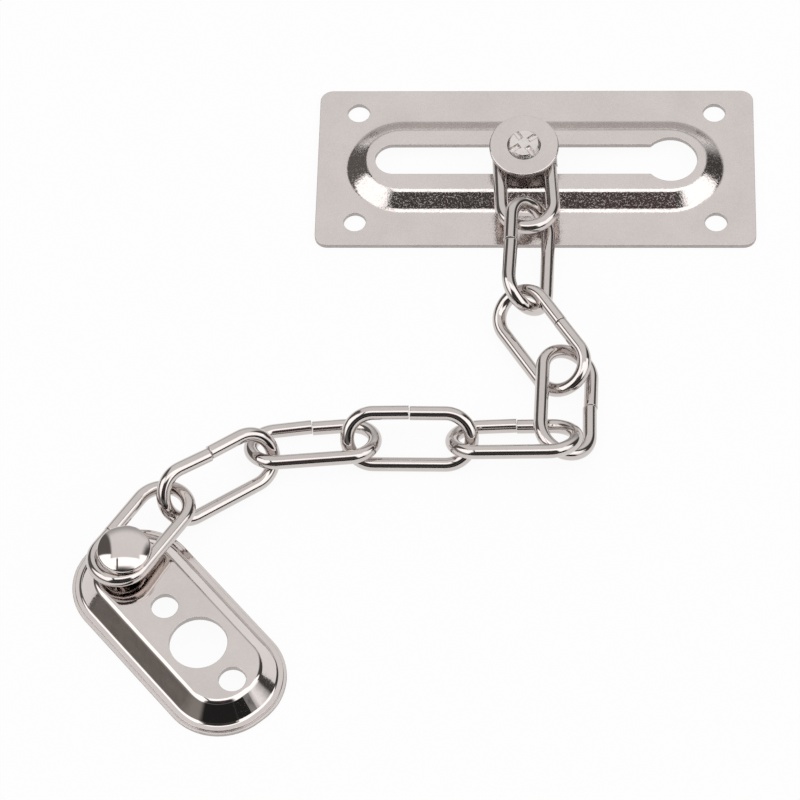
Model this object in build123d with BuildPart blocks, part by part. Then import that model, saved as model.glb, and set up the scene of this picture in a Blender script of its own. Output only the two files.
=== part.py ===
# Door chain laid out flat: slide plate with a keyhole slot, stud, nine bent-wire links, anchor plate.
# Millimetres. +Z is up from the table, +X runs along the slide plate, the chain lies towards -Y.
import math
import os

from build123d import *

# Slide plate: a flat flange with a raised, hollow rib that carries the keyhole slot
slide_len = 90.0
slide_wid = 39.0
slide_sheet = 1.0
slide_corner_r = 2.6
slide_hole_d = 4.6
slide_hole_x = 73.8
slide_hole_y = 27.6
rib_len = 77.8
rib_wid = 23.0
rib_rise = 2.8
rib_run = 4.1
rib_shoulder_r = 2.4
rib_foot_r = 2.8
rib_hollow_r = 0.7
slot_wid = 7.4
slot_left_x = -33.0
entry_d = 11.0
entry_x = 27.7

# Stud that runs in the slot, leaning a little towards the chain
stud_x = -2.3
stud_y = -0.3
stud_lean = 6.0
foot_d = 10.0
foot_thick = 1.3
foot_edge_r = 0.4
shank_d = 6.0
tenon_d = 4.6
stake_d = 6.9
stake_thick = 0.8
stake_taper = 35
stake_notch = 1.3
stake_notch_depth = 0.5
stake_notch_taper = 40
stake_notch_turn = 35
washer_d = 14.2
washer_thick = 1.2
washer_edge_r = 0.3

# Chain links: round wire bent to a long loop and left open at a butt seam
wire_d = 2.8
link_len = 27.3
link_wid = 13.3
seam_gap = 0.2

# Anchor plate: a raised plate on a narrow stepped rim, one big hole between two screw holes
anchor_len = 51.0
anchor_wid = 24.6
anchor_sheet = 1.2
anchor_corner_r = 11.6
anchor_rim = 1.6
anchor_rim_step = 0.6
anchor_lip = 0.6
anchor_rise = 4.0
anchor_run = 3.3
anchor_shoulder_r = 1.8
anchor_foot_r = 1.0
anchor_hollow_r = 0.5
anchor_heading = -49.0
anchor_end_to_rivet = 9.7
rivet_to_big_hole = 22.5
big_hole_d = 11.2
anchor_hole_d = 5.3
anchor_hole_step = 10.5

# Anchor rivet
head_d = 10.5
head_rim = 1.0
head_crown = 1.6
head_edge_r = 0.6
neck_d = 5.5
rivet_shank_d = 4.5
tail_d = 7.4
tail_thick = 1.0
rivet_aside_len = 0.74
rivet_back_len = 0.67

# Clearances
lay_clear = 0.25
wire_clear = 0.25
pass_clear = 0.25
fit_clear = 0.05

# Heights and lengths that follow from the sizes above
slide_top = slide_sheet + rib_rise
anchor_top = anchor_sheet + anchor_rise
bend_r = (link_wid - wire_d) / 2
leg_half = (link_len - link_wid) / 2
first_pitch = 2.5
first_reach = math.sqrt((washer_d / 2) ** 2 - bend_r**2)
first_rise = math.sin(math.radians(first_pitch)) * (bend_r + wire_d + first_reach)
stud_drop = math.sin(math.radians(stud_lean)) * first_reach
stud_shoulder_z = slide_top + lay_clear + wire_d + first_rise + stud_drop + pass_clear
last_pitch = 5.0
last_roll = 6.0
last_drop = 0.6
last_rest_z = anchor_top + lay_clear - last_drop
last_lift = math.sin(math.radians(last_pitch))
last_side_lift = math.sin(math.radians(last_roll)) * math.cos(math.radians(last_pitch))
last_height = 2 * (leg_half * last_lift + bend_r * math.hypot(last_lift, last_side_lift))
head_seat_z = last_rest_z + wire_d + last_height + pass_clear

# How each link lies: heading, pitch, roll (degrees), how far ahead and aside of the bend before it
# its own near bend sits, and the height its wire rests at, these three in wire diameters
link_lay = [
    (-87.0, first_pitch, 0, -0.23, 0.02, (slide_top + lay_clear) / wire_d),
    (-91.5, -1.0, -45, 1.83, 0.12, 0.35),
    (-57.5, 1.5, 29, 2.29, -0.25, 0.17),
    (-91.5, 3.5, -23, 0.67, 0.17, 0.05),
    (-182.5, -5.5, 30, 1.00, -1.05, 0.17),
    (-180.0, 0.5, -48, 2.35, 0.30, 0.09),
    (-175.0, 0.0, 22, 1.83, -0.16, 0.17),
    (-145.0, 4.0, -50, 2.02, 1.34, 0.0),
    (-121.5, last_pitch, last_roll, 2.23, 0.15, last_rest_z / wire_d),
]

# Where each link's seam is: which leg, how far along it in wire diameters, and how far the one end
# leans off line (degrees)
link_seam = [
    (1, -1.1, 1.0),
    (-1, -0.4, 1.5),
    (1, 0.0, 0.5),
    (1, 0.0, 1.5),
    (-1, 0.0, -3.0),
    (-1, 0.0, -1.0),
    (-1, 0.0, -4.0),
    (-1, 0.0, 2.5),
    (-1, 1.1, 1.0),
]


def plan(heading, ahead, aside):
    """A step on the table, measured along a heading and to its left."""
    turn = math.radians(heading)
    x = ahead * math.cos(turn) - aside * math.sin(turn)
    y = ahead * math.sin(turn) + aside * math.cos(turn)
    return Vector(x, y, 0)


def tilted_plane(heading, pitch, roll):
    """The plane of a link at the origin: x along the link, z square to its loop."""
    flat = plan(heading, 1, 0)
    left = plan(heading, 0, 1)
    up = Vector(0, 0, 1)
    along = flat * math.cos(math.radians(pitch)) + up * math.sin(math.radians(pitch))
    normal = along.cross(left)
    square = normal * math.cos(math.radians(roll)) - left * math.sin(math.radians(roll))
    return Plane(origin=(0, 0, 0), x_dir=along, z_dir=square)


def wire_points(place):
    """Points along the middle of the wire of a link on its plane."""
    flat = []
    for i in range(40):
        turn = math.radians(-90 + 180 * i / 40)
        flat.append((leg_half + bend_r * math.cos(turn), bend_r * math.sin(turn)))
        flat.append((-leg_half - bend_r * math.cos(turn), bend_r * math.sin(turn)))
    for i in range(26):
        flat.append((leg_half - 2 * leg_half * i / 25, bend_r))
        flat.append((leg_half - 2 * leg_half * i / 25, -bend_r))
    return [tuple(place.from_local_coords((x, y, 0))) for x, y in flat]


def nearest(wire_a, wire_b):
    """Smallest distance between the middles of two wires."""
    return min(math.dist(a, b) for a in wire_a for b in wire_b)


def lay_chain():
    """Lay every link in the one before it, moved along until the two wires are clear of each other."""
    places = []
    bend = Vector(stud_x, stud_y, 0)
    heading_before = link_lay[0][0]
    wire_before = []
    for heading, pitch, roll, ahead, aside, rest in link_lay:
        tilt = tilted_plane(heading, pitch, roll)
        lowest = min(point[2] for point in wire_points(tilt))
        middle_z = (rest + 0.5) * wire_d - lowest
        for i in range(61):
            shift = 0.04 * ((i + 1) // 2) * (-1 if i % 2 else 1)
            near_bend = bend + plan(heading_before, (ahead + shift) * wire_d, aside * wire_d)
            middle = near_bend + tilt.x_dir * leg_half
            place = Plane(origin=(middle.X, middle.Y, middle_z), x_dir=tilt.x_dir, z_dir=tilt.z_dir)
            wire = wire_points(place)
            if not wire_before or nearest(wire_before, wire) >= wire_d + wire_clear:
                break
        places.append(place)
        bend = place.origin + place.x_dir * leg_half
        heading_before = heading
        wire_before = wire
    return places


def wire_link(place, side, seam_along, lean):
    """One link: wire bent to a loop, its two cut ends butting part-way along one leg."""
    tip = math.radians(lean)
    seam_x = seam_along * wire_d
    far_x = leg_half - bend_r * math.sin(tip)
    far_len = (far_x - seam_x - seam_gap / 2) / math.cos(tip)
    near_len = leg_half + seam_x - seam_gap / 2
    along = place.x_dir
    far_run = along * -math.cos(tip) - place.y_dir * (side * math.sin(tip))
    far_centre = place.from_local_coords((leg_half, 0, 0))
    near_centre = place.from_local_coords((-leg_half, 0, 0))
    far_start = place.from_local_coords((leg_half, -side * bend_r, 0))
    near_start = place.from_local_coords((-leg_half, -side * bend_r, 0))
    far_end = place.from_local_coords((far_x, side * bend_r * math.cos(tip), 0))
    near_end = place.from_local_coords((-leg_half, side * bend_r, 0))
    with BuildPart() as link:
        # Whole leg
        with BuildSketch(Plane(origin=near_start, z_dir=along)):
            Circle(wire_d / 2)
        extrude(amount=2 * leg_half)
        # Far bend
        with BuildSketch(Plane(origin=far_start, z_dir=along)):
            Circle(wire_d / 2)
        revolve(axis=Axis(far_centre, place.z_dir * side), revolution_arc=180 + lean)
        # Near bend
        with BuildSketch(Plane(origin=near_start, z_dir=along * -1)):
            Circle(wire_d / 2)
        revolve(axis=Axis(near_centre, place.z_dir * -side), revolution_arc=180)
        # The two half legs that meet at the seam
        with BuildSketch(Plane(origin=far_end, z_dir=far_run)):
            Circle(wire_d / 2)
        extrude(amount=far_len)
        with BuildSketch(Plane(origin=near_end, z_dir=along)):
            Circle(wire_d / 2)
        extrude(amount=near_len)
    return link.part


def shell_inset(sheet, rise, run):
    """How far the hollow's foot sits inside the raised foot so that the wall keeps the sheet's thickness."""
    return sheet * math.tan(math.atan2(rise, run) / 2)


# Hollow under the slide plate's rib
slide_inset = shell_inset(slide_sheet, rib_rise, rib_run)
rib_taper = math.degrees(math.atan2(rib_run, rib_rise))
with BuildPart() as slide_hollow:
    with BuildSketch(Plane.XY):
        SlotOverall(rib_len - 2 * slide_inset, rib_wid - 2 * slide_inset)
    extrude(amount=rib_rise, taper=rib_taper)
    fillet(slide_hollow.edges().group_by(Axis.Z)[-1], rib_hollow_r)

# Slide plate
with BuildPart() as slide_plate:
    with BuildSketch(Plane.XY):
        RectangleRounded(slide_len, slide_wid, slide_corner_r)
    extrude(amount=slide_sheet)
    with BuildSketch(Plane.XY.offset(slide_sheet)):
        SlotOverall(rib_len, rib_wid)
    extrude(amount=rib_rise, taper=rib_taper)
    rib_foot_edges = slide_plate.edges(Select.LAST).filter_by_position(Axis.Z, slide_sheet, slide_sheet)
    fillet(rib_foot_edges, rib_foot_r)
    fillet(slide_plate.edges().group_by(Axis.Z)[-1], rib_shoulder_r)
    add(slide_hollow.part, mode=Mode.SUBTRACT)
    with BuildSketch(Plane.XY.offset(slide_top)):
        with Locations(((slot_left_x + entry_x) / 2, 0)):
            SlotOverall(entry_x - slot_left_x, slot_wid)
        with Locations((entry_x, 0)):
            Circle(entry_d / 2)
    extrude(amount=-slide_top, mode=Mode.SUBTRACT)
    with BuildSketch(Plane.XY.offset(slide_sheet)):
        with GridLocations(slide_hole_x, slide_hole_y, 2, 2):
            Circle(slide_hole_d / 2)
    extrude(amount=-slide_sheet, mode=Mode.SUBTRACT)

# Stud: foot under the plate, shank through the slot, end staked over the washer
stud_at = Plane(
    origin=(stud_x, stud_y, stud_shoulder_z),
    x_dir=(1, 0, 0),
    z_dir=(0, -math.sin(math.radians(stud_lean)), math.cos(math.radians(stud_lean))),
)
foot_lift = math.sin(math.radians(stud_lean)) * foot_d / 2
shank_len = stud_shoulder_z - (slide_top - slide_sheet - pass_clear - foot_lift)
tenon_len = washer_thick + 2 * fit_clear
with BuildPart() as slide_rivet:
    with BuildSketch(stud_at.offset(-shank_len - foot_thick)):
        Circle(foot_d / 2)
    extrude(amount=foot_thick)
    fillet(slide_rivet.edges().group_by(Axis.Z)[0], foot_edge_r)
    with BuildSketch(stud_at.offset(-shank_len)):
        Circle(shank_d / 2)
    extrude(amount=shank_len)
    with BuildSketch(stud_at):
        Circle(tenon_d / 2)
    extrude(amount=tenon_len)
    with BuildSketch(stud_at.offset(tenon_len)):
        Circle(stake_d / 2)
    extrude(amount=stake_thick, taper=stake_taper)
    with BuildSketch(stud_at.offset(tenon_len + stake_thick)):
        with PolarLocations(stake_d * 0.36, 4, start_angle=stake_notch_turn):
            Rectangle(stake_d * 0.42, stake_notch)
    extrude(amount=-stake_notch_depth, taper=stake_notch_taper, mode=Mode.SUBTRACT)

# Washer over the first link
with BuildPart() as slide_washer:
    with BuildSketch(stud_at.offset(fit_clear)):
        Circle(washer_d / 2)
        Circle(tenon_d / 2 + fit_clear, mode=Mode.SUBTRACT)
    extrude(amount=washer_thick)
    washer_rims = slide_washer.edges().filter_by(GeomType.CIRCLE).sort_by(SortBy.RADIUS)[-2:]
    fillet(washer_rims, washer_edge_r)

# Links
link_places = lay_chain()
link_parts = [wire_link(place, *seam) for place, seam in zip(link_places, link_seam)]

# Anchor plate, laid out from the rivet that holds the last link
last_bend = link_places[-1].origin + link_places[-1].x_dir * leg_half
rivet_at = last_bend + plan(link_lay[-1][0], -rivet_back_len, rivet_aside_len)
rivet_x = rivet_at.X
rivet_y = rivet_at.Y
anchor_mid = anchor_len / 2 - anchor_end_to_rivet
anchor_at = Plane(origin=(rivet_x, rivet_y, 0), x_dir=plan(anchor_heading, 1, 0), z_dir=(0, 0, 1))
anchor_foot_len = anchor_len - 2 * anchor_rim
anchor_foot_wid = anchor_wid - 2 * anchor_rim
anchor_foot_corner_r = anchor_corner_r - anchor_rim
anchor_inset = shell_inset(anchor_sheet, anchor_rise, anchor_run)
anchor_taper = math.degrees(math.atan2(anchor_run, anchor_rise))
with BuildPart() as anchor_hollow:
    with BuildSketch(anchor_at):
        with Locations((anchor_mid, 0)):
            RectangleRounded(
                anchor_foot_len - 2 * anchor_inset,
                anchor_foot_wid - 2 * anchor_inset,
                anchor_foot_corner_r - anchor_inset,
            )
    extrude(amount=anchor_rise, taper=anchor_taper)
    fillet(anchor_hollow.edges().group_by(Axis.Z)[-1], anchor_hollow_r)

with BuildPart() as anchor_plate:
    # Stepped rim: a full-size lower half and a slightly smaller upper half
    with BuildSketch(anchor_at):
        with Locations((anchor_mid, 0)):
            RectangleRounded(anchor_len, anchor_wid, anchor_corner_r)
    extrude(amount=anchor_sheet * anchor_rim_step)
    with BuildSketch(anchor_at.offset(anchor_sheet * anchor_rim_step)):
        with Locations((anchor_mid, 0)):
            RectangleRounded(
                anchor_len - 2 * anchor_lip, anchor_wid - 2 * anchor_lip, anchor_corner_r - anchor_lip
            )
    extrude(amount=anchor_sheet * (1 - anchor_rim_step))
    # Raised plate
    with BuildSketch(anchor_at.offset(anchor_sheet)):
        with Locations((anchor_mid, 0)):
            RectangleRounded(anchor_foot_len, anchor_foot_wid, anchor_foot_corner_r)
    extrude(amount=anchor_rise, taper=anchor_taper)
    anchor_new_edges = anchor_plate.edges(Select.LAST)
    anchor_foot_edges = anchor_new_edges.filter_by_position(Axis.Z, anchor_sheet, anchor_sheet)
    fillet(anchor_foot_edges, anchor_foot_r)
    fillet(anchor_plate.edges().group_by(Axis.Z)[-1], anchor_shoulder_r)
    add(anchor_hollow.part, mode=Mode.SUBTRACT)
    with BuildSketch(anchor_at.offset(anchor_top)):
        with Locations((rivet_to_big_hole, 0)):
            Circle(big_hole_d / 2)
        with Locations(
            (rivet_to_big_hole - anchor_hole_step, 0), (rivet_to_big_hole + anchor_hole_step, 0)
        ):
            Circle(anchor_hole_d / 2)
        Circle(rivet_shank_d / 2 + fit_clear)
    extrude(amount=-anchor_top, mode=Mode.SUBTRACT)

# Anchor rivet: domed head, neck for the last link, shank through the plate, tail closed underneath
tail_top_z = anchor_top - anchor_sheet - fit_clear
head_top_z = head_seat_z + head_rim + head_crown
dome_r = ((head_d / 2) ** 2 + head_crown**2) / (2 * head_crown)
with BuildPart() as anchor_rivet:
    with BuildSketch(Plane(origin=(rivet_x, rivet_y, 0), x_dir=(1, 0, 0), z_dir=(0, -1, 0))):
        with BuildLine():
            Polyline(
                (0, tail_top_z - tail_thick),
                (tail_d / 2, tail_top_z - tail_thick),
                (tail_d / 2, tail_top_z),
                (rivet_shank_d / 2, tail_top_z),
                (rivet_shank_d / 2, anchor_top + fit_clear),
                (neck_d / 2, anchor_top + fit_clear),
                (neck_d / 2, head_seat_z),
                (head_d / 2, head_seat_z),
                (head_d / 2, head_seat_z + head_rim),
            )
            RadiusArc((head_d / 2, head_seat_z + head_rim), (0, head_top_z), -dome_r)
            Line((0, head_top_z), (0, tail_top_z - tail_thick))
        make_face()
    revolve(axis=Axis((rivet_x, rivet_y, 0), (0, 0, 1)))
    head_edge_z = head_seat_z + head_rim
    fillet(anchor_rivet.edges().filter_by_position(Axis.Z, head_edge_z, head_edge_z), head_edge_r)

# Labels and files
slide_plate.part.label = "slide_plate"
slide_rivet.part.label = "slide_rivet"
slide_washer.part.label = "slide_washer"
anchor_plate.part.label = "anchor_plate"
anchor_rivet.part.label = "anchor_rivet"
os.makedirs("parts", exist_ok=True)
export_step(slide_plate.part, "parts/slide_plate.step")
export_step(slide_rivet.part, "parts/slide_rivet.step")
export_step(slide_washer.part, "parts/slide_washer.step")
for number, link_part in enumerate(link_parts, start=1):
    link_part.label = f"link_{number}"
    export_step(link_part, f"parts/link_{number}.step")
export_step(anchor_plate.part, "parts/anchor_plate.step")
export_step(anchor_rivet.part, "parts/anchor_rivet.step")
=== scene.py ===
# Look of the door chain: bright nickel plate on a white ground, seen from the photograph's camera.
import math

import bpy
from mathutils import Matrix, Vector

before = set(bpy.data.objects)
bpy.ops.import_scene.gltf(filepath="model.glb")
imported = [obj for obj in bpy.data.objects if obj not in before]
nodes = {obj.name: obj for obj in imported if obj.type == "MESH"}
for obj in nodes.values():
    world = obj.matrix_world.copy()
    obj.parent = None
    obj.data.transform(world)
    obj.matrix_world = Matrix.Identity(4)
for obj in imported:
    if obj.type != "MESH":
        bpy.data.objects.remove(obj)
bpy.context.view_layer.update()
scene = bpy.context.scene
scene.view_settings.view_transform = "Standard"
mm = 0.001

# Camera, as found from the plate's corners and holes
cam_az = math.radians(4.902)
cam_el = math.radians(57.50)
cam_roll = math.radians(-4.024)
cam_aim = Vector((-26.444, -56.405, 0)) * mm
cam_far = 816.44 * mm
cam_lens = 184.4
cam_sensor = 36
cam_near = 0.05
cam_end = 20
# Half a pixel, left and up
cam_nudge = 0.1 * mm


def place_camera():
    """The photograph's camera: aimed at cam_aim, from cam_far away."""
    flat = math.cos(cam_el)
    ahead = Vector((-math.sin(cam_az) * flat, math.cos(cam_az) * flat, -math.sin(cam_el)))
    right = Vector((math.cos(cam_az), math.sin(cam_az), 0))
    up = right.cross(ahead)
    c = math.cos(cam_roll)
    s = math.sin(cam_roll)
    right, up = c * right + s * up, c * up - s * right
    data = bpy.data.cameras.new("camera")
    data.lens = cam_lens
    data.sensor_width = cam_sensor
    data.clip_start = cam_near
    data.clip_end = cam_end
    cam = bpy.data.objects.new("camera", data)
    scene.collection.objects.link(cam)
    turn = Matrix((right, up, -ahead)).transposed().to_4x4()
    eye = cam_aim - ahead * cam_far - right * cam_nudge + up * cam_nudge
    cam.matrix_world = Matrix.Translation(eye) @ turn
    scene.camera = cam


class Graph:
    """Short calls for adding shader nodes to one tree."""

    # A Mix node's colour sockets by number, because its other kinds have sockets of the same names
    mix_a = 6
    mix_b = 7
    mix_out = 2

    def __init__(self, tree):
        self.tree = tree
        tree.nodes.clear()

    def add(self, kind, **props):
        node = self.tree.nodes.new(kind)
        for key, value in props.items():
            setattr(node, key, value)
        return node

    def feed(self, socket, value):
        if isinstance(value, bpy.types.NodeSocket):
            self.tree.links.new(value, socket)
        elif value is not None:
            socket.default_value = value

    def math(self, op, a, b=None):
        node = self.add("ShaderNodeMath", operation=op)
        self.feed(node.inputs[0], a)
        self.feed(node.inputs[1], b)
        return node.outputs[0]

    def both(self, a, b):
        """The share where two masks overlap."""
        return self.math("MULTIPLY", a, b)

    def ramp(self, value, low, high, to_low=0.0, to_high=1.0, smooth=True):
        """to_low up to low, to_high from high on, and a slope between."""
        kind = "SMOOTHSTEP" if smooth else "LINEAR"
        node = self.add("ShaderNodeMapRange", interpolation_type=kind, clamp=True)
        self.feed(node.inputs["Value"], value)
        node.inputs["From Min"].default_value = low
        node.inputs["From Max"].default_value = high
        node.inputs["To Min"].default_value = to_low
        node.inputs["To Max"].default_value = to_high
        return node.outputs[0]

    def fall(self, value, low, high):
        """1 up to low, 0 from high on."""
        return self.ramp(value, low, high, 1.0, 0.0)

    def band(self, value, low, high, soft):
        """1 between low and high, fading over soft on both sides."""
        start = self.ramp(value, low - soft / 2, low + soft / 2)
        end = self.fall(value, high - soft / 2, high + soft / 2)
        return self.both(start, end)

    def mix(self, fac, a, b):
        node = self.add("ShaderNodeMix", data_type="RGBA")
        self.feed(node.inputs["Factor"], fac)
        self.feed(node.inputs[self.mix_a], a)
        self.feed(node.inputs[self.mix_b], b)
        return node.outputs[self.mix_out]

    def noise(self, vector, scale, detail=2.0, rough=0.5):
        node = self.add("ShaderNodeTexNoise")
        self.feed(node.inputs["Vector"], vector)
        node.inputs["Scale"].default_value = scale
        node.inputs["Detail"].default_value = detail
        node.inputs["Roughness"].default_value = rough
        return node.outputs[0]


def grey(v, warm=0.0):
    """Grey of level v, with less blue and half as much less green by the share warm."""
    return (v, v * (1 - 0.5 * warm), v * (1 - warm), 1)


def light_world():
    """A studio read from the reflections: pale behind, white boxes above and beside, dark in front."""
    world = bpy.data.worlds.new("world")
    scene.world = world
    world.use_nodes = True
    g = Graph(world.node_tree)
    where = g.add("ShaderNodeTexCoord").outputs["Generated"]
    split = g.add("ShaderNodeSeparateXYZ")
    g.feed(split.inputs[0], where)
    x, y, z = split.outputs
    front = g.math("MULTIPLY", y, -1.0)
    # In degrees: lean from straight up to the front, swing from the front to the right, rise from the table
    degrees = 180 / math.pi
    lean = g.math("MULTIPLY", g.math("ARCTAN2", front, z), degrees)
    swing = g.math("MULTIPLY", g.math("ARCTAN2", x, front), degrees)
    turn = g.math("ABSOLUTE", swing)
    rise = g.math("MULTIPLY", g.math("ARCSINE", z), degrees)
    wide = g.math("ABSOLUTE", x)

    # Pale wall and ceiling, dimmer near the table
    wall = grey(0.92)
    wall_foot = grey(0.45)
    wall_fade = (0, 30)
    colour = g.mix(g.ramp(rise, *wall_fade), wall_foot, wall)

    # The pale panel ends at both sides, and the room beyond it is dark
    beside = (84, 92)
    panel_left = (-0.56, -0.47)
    panel_right = (0.54, 0.72)
    room_left = grey(0.13, 0.1)
    room_right = grey(0.07, 0.1)
    behind = g.ramp(turn, *beside)
    colour = g.mix(g.both(g.fall(x, *panel_left), behind), colour, room_left)
    colour = g.mix(g.both(g.ramp(x, *panel_right), behind), colour, room_right)

    # Low dark band along the left wall
    band_top = (16, 26)
    band_swing = (-96, -20, 24)
    shade_rise = (0, 10)
    shade_low = grey(0.14, 0.15)
    shade_high = grey(0.30, 0.12)
    band = g.both(g.fall(rise, *band_top), g.band(swing, *band_swing))
    colour = g.mix(band, colour, g.mix(g.ramp(rise, *shade_rise), shade_low, shade_high))

    # Dark room in front, reaching further round at the low right
    front_lean = (23, 30)
    front_turn = (30, 42)
    corner_swing = (30, 56, 6)
    corner_top = (20, 28)
    corner = g.both(g.band(swing, *corner_swing), g.fall(rise, *corner_top))
    dark = g.both(g.ramp(lean, *front_lean), g.math("MAXIMUM", corner, g.fall(turn, *front_turn)))
    # Darkest low down, something reddish right of the camera, and a dim strip below that
    deep_lean = (34, 60)
    deep_high = grey(0.06, 0.03)
    deep_low = grey(0.02)
    red_swing = (1, 16, 10)
    red_rise = (32, 40)
    red_share = 0.6
    red = (0.12, 0.06, 0.065, 1)
    strip_rise = (23, 29, 6)
    strip = grey(0.16)
    depth = g.mix(g.ramp(lean, *deep_lean), deep_high, deep_low)
    reddish = g.both(g.band(swing, *red_swing), g.ramp(rise, *red_rise))
    depth = g.mix(g.math("MULTIPLY", reddish, red_share), depth, red)
    depth = g.mix(g.band(rise, *strip_rise), depth, strip)
    colour = g.mix(dark, colour, depth)

    # Soft boxes at both sides, with a dimmer one below the right one
    side_turn = (38, 104, 6)
    side_rise = (23, 57, 6)
    side_light = grey(1.7)
    lower_swing = (62, 90, 6)
    lower_rise = (9, 30, 6)
    lower_light = grey(1.2)
    colour = g.mix(g.both(g.band(swing, *lower_swing), g.band(rise, *lower_rise)), colour, lower_light)
    colour = g.mix(g.both(g.band(turn, *side_turn), g.band(rise, *side_rise)), colour, side_light)

    # Soft box overhead, in two parts with a dark gap between them
    top_start = (0.5, 4.5)
    top_end = (20, 26)
    top_width = (0.45, 0.65)
    top_light = grey(1.8)
    gap_lean = (4, 30, 6)
    gap_x = (-0.345, -0.275, 0.03)
    gap_level = grey(0.1)
    top = g.both(g.ramp(lean, *top_start), g.fall(lean, *top_end))
    colour = g.mix(g.both(top, g.fall(wide, *top_width)), colour, top_light)
    colour = g.mix(g.both(g.band(lean, *gap_lean), g.band(x, *gap_x)), colour, gap_level)

    back = g.add("ShaderNodeBackground")
    g.feed(back.inputs["Color"], colour)
    out = g.add("ShaderNodeOutputWorld")
    g.feed(out.inputs[0], back.outputs[0])


def lay_floor():
    """White table, which keeps the object's shadow."""
    half = 2.0
    drop = 0.02 * mm
    table_tone = grey(0.9)
    shown_white = grey(1.0)
    shown_share = 0.93
    corners = [(-half, -half, 0), (half, -half, 0), (half, half, 0), (-half, half, 0)]
    mesh = bpy.data.meshes.new("floor")
    mesh.from_pydata(corners, [], [(0, 1, 2, 3)])
    floor = bpy.data.objects.new("floor", mesh)
    scene.collection.objects.link(floor)
    floor.location.z = -drop
    mat = bpy.data.materials.new("white_table")
    mat.use_nodes = True
    g = Graph(mat.node_tree)
    path = g.add("ShaderNodeLightPath").outputs
    # To the camera, in metal and through glass the table is mostly plain white; the rest keeps the shadow
    seen = g.math("MAXIMUM", path["Is Camera Ray"], path["Is Glossy Ray"])
    seen = g.math("MAXIMUM", seen, path["Is Transmission Ray"])
    matt = g.add("ShaderNodeBsdfDiffuse")
    matt.inputs["Color"].default_value = table_tone
    white = g.add("ShaderNodeEmission")
    white.inputs["Color"].default_value = shown_white
    mixed = g.add("ShaderNodeMixShader")
    g.feed(mixed.inputs[0], g.math("MULTIPLY", seen, shown_share))
    g.feed(mixed.inputs[1], matt.outputs[0])
    g.feed(mixed.inputs[2], white.outputs[0])
    out = g.add("ShaderNodeOutputMaterial")
    g.feed(out.inputs[0], mixed.outputs[0])
    mesh.materials.append(mat)


# Marks on the plating: each noise's scale per metre, its detail and its roughness
cloud_noise = (90, 4, 0.6)
speck_noise = (1600, 2, 0.6)
dull_noise = (350, 3, 0.6)
frost_noise = (2800, 1)
grain_rough = 0.55
# The stretch of each noise that is used
noise_span = (0.3, 0.7)
frost_span = (0.48, 0.64)
# The cloud's weight in the tone, the rest being the speck's, and how far the gloss strays
cloud_share = 0.7
gloss_spread = 0.3
# Punched walls, told by the upright share of the face's normal: rougher, and with a painted shade that
# darkens their colour
wall_span = (0.1, 0.35)
wall_shade_tone = 0.6
wall_shade_share = 0.9
wall_rough = 0.25
# Rays for each eased edge
edge_samples = 8


def scaled(colour, share):
    """The colour made lighter or darker, up to white."""
    return tuple(min(1, c * share) for c in colour[:3]) + (1,)


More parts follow.
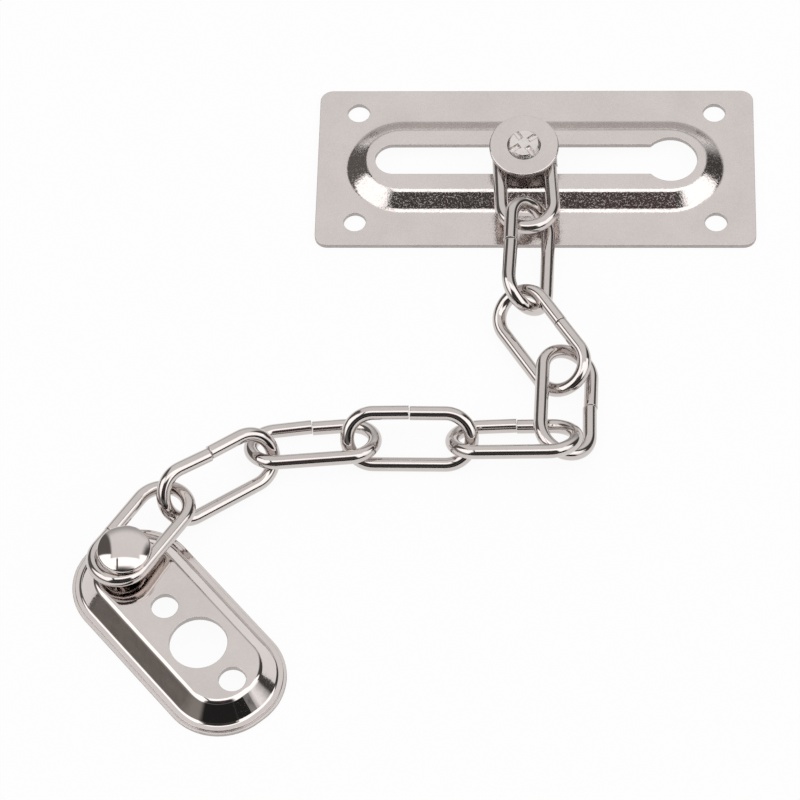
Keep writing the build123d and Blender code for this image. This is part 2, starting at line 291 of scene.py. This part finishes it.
def nickel(name, colour, rough, grain, grain_size,
           detail=3, blotch=0.06, frost=0.0, edge=0.0, dulled_and_shaded_walls=False):
    """Nickel plate with a blotched colour and uneven gloss.

    The grain is grain mm deep and grain_size mm across, and edges are eased by edge mm.
    frost is the roughness that the matt specks add, and the wall flag dulls the upright walls and paints
    them darker as painted shade.
    """
    mat = bpy.data.materials.new(name)
    mat.use_nodes = True
    g = Graph(mat.node_tree)
    place = g.add("ShaderNodeTexCoord").outputs["Object"]
    cloud = g.math("MULTIPLY", g.noise(place, *cloud_noise), cloud_share)
    speck = g.math("MULTIPLY", g.noise(place, *speck_noise), 1 - cloud_share)
    tone = g.ramp(g.math("ADD", cloud, speck), *noise_span, smooth=False)
    base = g.mix(tone, scaled(colour, 1 - blotch), scaled(colour, 1 + blotch))
    dull = g.noise(place, *dull_noise)
    smoothest = rough * (1 - gloss_spread)
    roughest = rough * (1 + gloss_spread)
    gloss = g.ramp(dull, *noise_span, smoothest, roughest, smooth=False)
    if frost:
        # Fine matt specks left by rolling
        specks = g.ramp(g.noise(place, *frost_noise), *frost_span)
        gloss = g.math("ADD", gloss, g.math("MULTIPLY", specks, frost))
    if dulled_and_shaded_walls:
        # Walls left by the punch are duller than the rolled face, and their colour is painted darker as
        # painted shade
        split = g.add("ShaderNodeSeparateXYZ")
        g.feed(split.inputs[0], g.add("ShaderNodeTexCoord").outputs["Normal"])
        dull_and_shade_mask = g.fall(g.math("ABSOLUTE", split.outputs[2]), *wall_span)
        # Painted shade: the upright walls' colour is darkened here
        base = g.mix(g.math("MULTIPLY", dull_and_shade_mask, wall_shade_share), base, scaled(colour, wall_shade_tone))
        gloss = g.math("ADD", gloss, g.math("MULTIPLY", dull_and_shade_mask, wall_rough))
    shader = g.add("ShaderNodeBsdfPrincipled")
    g.feed(shader.inputs["Base Color"], base)
    shader.inputs["Metallic"].default_value = 1.0
    g.feed(shader.inputs["Roughness"], gloss)
    height = g.noise(place, 1 / (grain_size * mm), detail, grain_rough)
    bump = g.add("ShaderNodeBump")
    bump.inputs["Strength"].default_value = 1.0
    bump.inputs["Distance"].default_value = grain * mm
    g.feed(bump.inputs["Height"], height)
    if edge:
        round_off = g.add("ShaderNodeBevel", samples=edge_samples)
        round_off.inputs["Radius"].default_value = edge * mm
        g.feed(bump.inputs["Normal"], round_off.outputs[0])
    g.feed(shader.inputs["Normal"], bump.outputs[0])
    out = g.add("ShaderNodeOutputMaterial")
    g.feed(out.inputs[0], shader.outputs[0])
    return mat


place_camera()
light_world()
lay_floor()

nickel_tone = (0.66, 0.605, 0.585, 1)
wire_tone = (0.595, 0.55, 0.53, 1)
stake_tone = (0.74, 0.69, 0.67, 1)
washer_tone = (0.65, 0.60, 0.58, 1)
sheet = nickel("nickel_sheet", nickel_tone, rough=0.07, grain=0.022, grain_size=0.40,
               frost=0.195, edge=0.15, dulled_and_shaded_walls=True)
pressed = nickel("nickel_pressed", nickel_tone, rough=0.05, grain=0.04, grain_size=4.0,
                 detail=1.5, frost=0.05, edge=0.15, dulled_and_shaded_walls=True)
wire = nickel("nickel_wire", wire_tone, rough=0.045, grain=0.002, grain_size=0.5, edge=0.3)
headed = nickel("nickel_headed", nickel_tone, rough=0.045, grain=0.002, grain_size=0.8)
staked = nickel("nickel_staked", stake_tone, rough=0.07, grain=0.17, grain_size=0.75, blotch=0.15)
stamped = nickel("nickel_stamped", washer_tone, rough=0.15, grain=0.02, grain_size=0.5,
                 blotch=0.08, edge=0.25, dulled_and_shaded_walls=True)

# The nodes that aren't listed are the links
finishes = {
    "slide_plate": sheet,
    "slide_rivet": staked,
    "slide_washer": stamped,
    "anchor_plate": pressed,
    "anchor_rivet": headed,
}
for name, obj in nodes.items():
    obj.data.materials.clear()
    obj.data.materials.append(finishes.get(name, wire))
